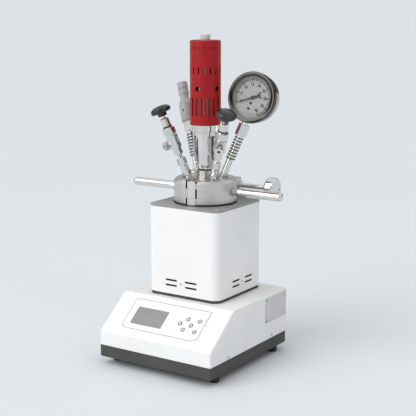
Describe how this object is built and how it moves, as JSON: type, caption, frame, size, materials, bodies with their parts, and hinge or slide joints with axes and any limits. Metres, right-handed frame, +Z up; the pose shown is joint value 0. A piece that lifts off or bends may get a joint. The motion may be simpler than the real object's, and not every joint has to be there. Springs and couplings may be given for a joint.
{
  "type": "hydrothermal reactor",
  "caption": "Bench stirred reactor: lidded steel vessel in a square heater on a sloped control cabinet, with split clamp ring, magnetic drive, pressure gauge and needle valves.",
  "frame": {"origin": "on the ground under the middle of the cabinet", "axes": "+Z up, front of the control panel towards -Y, gauge and nameplate side towards +X"},
  "size_m": [0.31, 0.2476, 0.5637],
  "materials": {
    "white_coat": "white powder coat",
    "dark_coat": "dark grey powder coat",
    "red_coat": "red powder coat",
    "grey_coat": "grey enamel",
    "stainless": "turned stainless steel",
    "polished": "polished stainless steel",
    "screw_steel": "plain screw steel",
    "membrane": "satin polyester film",
    "key_grey": "satin moulded keys",
    "display": "switched-off display window",
    "board": "circuit board",
    "plate_metal": "plain anodised plate",
    "black_plastic": "black moulded plastic",
    "knob_black": "black phenolic",
    "foot_rubber": "moulded rubber",
    "pad_rubber": "heat-resistant pad",
    "zinc_sheet": "zinc-plated sheet",
    "mineral_wool": "mineral wool",
    "block_metal": "milled aluminium",
    "seal_white": "fluoropolymer seal",
    "magnet_steel": "nickel-plated magnet steel",
    "dial_white": "painted dial",
    "window_glass": "clear glass",
    "pointer_black": "black pointer",
    "brass": "gauge brass",
    "sensor_coat": "grey enamel",
    "plug_grey": "grey plug"
  },
  "bodies": {
    "reactor": {"base_tray": "dark_coat", "base_feet": "foot_rubber", "base_cover": "white_coat", "panel_overlay": "membrane", "display_module": "display", "control_board": "board", "nameplate": "plate_metal", "cabinet_screws": "screw_steel", "rear_panel": "white_coat", "power_inlet": "black_plastic", "power_supply": "zinc_sheet", "heater_pad": "pad_rubber", "heater_shell": "white_coat", "heater_top_plate": "grey_coat", "heater_screws": "screw_steel", "heater_jacket": "mineral_wool", "heater_block": "block_metal", "band_heater": "zinc_sheet", "vessel": "stainless", "seal_ring": "seal_white", "lid": "stainless", "isolating_can": "stainless", "coupling_housing": "polished", "drive_motor": "zinc_sheet", "motor_cover": "red_coat", "motor_connector": "plug_grey", "left_valve_body": "polished", "right_valve_body": "polished", "gauge_stem": "stainless", "gauge_case": "polished", "gauge_bezel": "polished", "gauge_glass": "window_glass", "gauge_dial": "dial_white", "gauge_movement": "brass", "sensor_stem": "stainless", "sensor_body": "sensor_coat", "port_plugs": "stainless"},
    "rocker": {"rocker_switch": "knob_black"},
    "clamp_right": {"clamp_half_right": "stainless", "hinge_pin": "screw_steel", "handle_right": "polished"},
    "clamp_left": {"clamp_half_left": "stainless", "handle_left": "polished"},
    "clamp_bolt": {"clamp_screw": "stainless", "clamp_knob": "polished"},
    "stirrer": {"stirrer_shaft": "polished", "inner_rotor": "magnet_steel", "impeller": "stainless"},
    "drive_rotor": {"outer_rotor": "magnet_steel"},
    "left_stem": {"left_valve_stem": "stainless"},
    "left_knob": {"left_valve_knob": "knob_black"},
    "right_stem": {"right_valve_stem": "stainless"},
    "right_knob": {"right_valve_knob": "knob_black"},
    "pointer": {"gauge_pointer": "pointer_black"},
    "key_up": {"key_up": "key_grey"},
    "key_down": {"key_down": "key_grey"},
    "key_left": {"key_left": "key_grey"},
    "key_right": {"key_right": "key_grey"},
    "key_start": {"key_start": "key_grey"},
    "key_stop": {"key_stop": "key_grey"}
  },
  "joints": [
    {"name": "rocker_tip", "type": "hinge", "parent": "reactor", "child": "rocker", "pos_m": [0.06, 0.1154, 0.0895], "axis": [1, 0, 0], "range_deg": [0, 20]},
    {"name": "key_up_press", "type": "slide", "parent": "reactor", "child": "key_up", "axis": [0, 0.6124, -0.7906], "range_m": [0, 0.0006], "stiffness_N_per_m": 300},
    {"name": "key_down_press", "type": "slide", "parent": "reactor", "child": "key_down", "axis": [0, 0.6124, -0.7906], "range_m": [0, 0.0006], "stiffness_N_per_m": 300},
    {"name": "key_left_press", "type": "slide", "parent": "reactor", "child": "key_left", "axis": [0, 0.6124, -0.7906], "range_m": [0, 0.0006], "stiffness_N_per_m": 300},
    {"name": "key_right_press", "type": "slide", "parent": "reactor", "child": "key_right", "axis": [0, 0.6124, -0.7906], "range_m": [0, 0.0006], "stiffness_N_per_m": 300},
    {"name": "key_start_press", "type": "slide", "parent": "reactor", "child": "key_start", "axis": [0, 0.6124, -0.7906], "range_m": [0, 0.0006], "stiffness_N_per_m": 300},
    {"name": "key_stop_press", "type": "slide", "parent": "reactor", "child": "key_stop", "axis": [0, 0.6124, -0.7906], "range_m": [0, 0.0006], "stiffness_N_per_m": 300},
    {"name": "clamp_right_swing", "type": "hinge", "parent": "reactor", "child": "clamp_right", "pos_m": [0.00583, -0.01244, 0.2966], "axis": [0, 0, -1], "range_deg": [0, 30]},
    {"name": "clamp_left_swing", "type": "hinge", "parent": "reactor", "child": "clamp_left", "pos_m": [0.00583, -0.01244, 0.2966], "axis": [0, 0, 1], "range_deg": [0, 30]},
    {"name": "clamp_screw_out", "type": "slide", "parent": "clamp_right", "child": "clamp_bolt", "axis": [1, 0, 0], "range_m": [0, 0.03]},
    {"name": "stirrer_spin", "type": "hinge", "parent": "reactor", "child": "stirrer", "pos_m": [0, 0.0344, 0.25], "axis": [0, 0, 1], "continuous": true},
    {"name": "drive_spin", "type": "hinge", "parent": "reactor", "child": "drive_rotor", "pos_m": [0, 0.0344, 0.37], "axis": [0, 0, 1], "continuous": true},
    {"name": "left_stem_lift", "type": "slide", "parent": "reactor", "child": "left_stem", "axis": [-0.3314, -0.1913, 0.9239], "range_m": [0, 0.002]},
    {"name": "left_knob_turn", "type": "hinge", "parent": "left_stem", "child": "left_knob", "pos_m": [-0.06598, -0.00369, 0.42931], "axis": [-0.3314, -0.1913, 0.9239], "range_deg": [0, 720]},
    {"name": "right_stem_lift", "type": "slide", "parent": "reactor", "child": "right_stem", "axis": [0.3314, -0.1913, 0.9239], "range_m": [0, 0.002]},
    {"name": "right_knob_turn", "type": "hinge", "parent": "right_stem", "child": "right_knob", "pos_m": [0.06598, -0.00369, 0.42931], "axis": [0.3314, -0.1913, 0.9239], "range_deg": [0, 720]},
    {"name": "pointer_turn", "type": "hinge", "parent": "reactor", "child": "pointer", "pos_m": [0.07641, 0.06608, 0.45721], "axis": [-0.096, 0.981, -0.1687], "range_deg": [0, 270], "stiffness_Nm_per_rad": 0.002}
  ],
  "couplings": [
    {"joint": "clamp_left_swing", "follows": "clamp_right_swing", "ratio": 1},
    {"joint": "clamp_screw_out", "follows": "clamp_right_swing", "m_per_rad": 0.05729},
    {"joint": "drive_spin", "follows": "stirrer_spin", "ratio": 1},
    {"joint": "left_knob_turn", "follows": "left_stem_lift", "rad_per_m": 6283.2},
    {"joint": "right_knob_turn", "follows": "right_stem_lift", "rad_per_m": 6283.2}
  ]
}
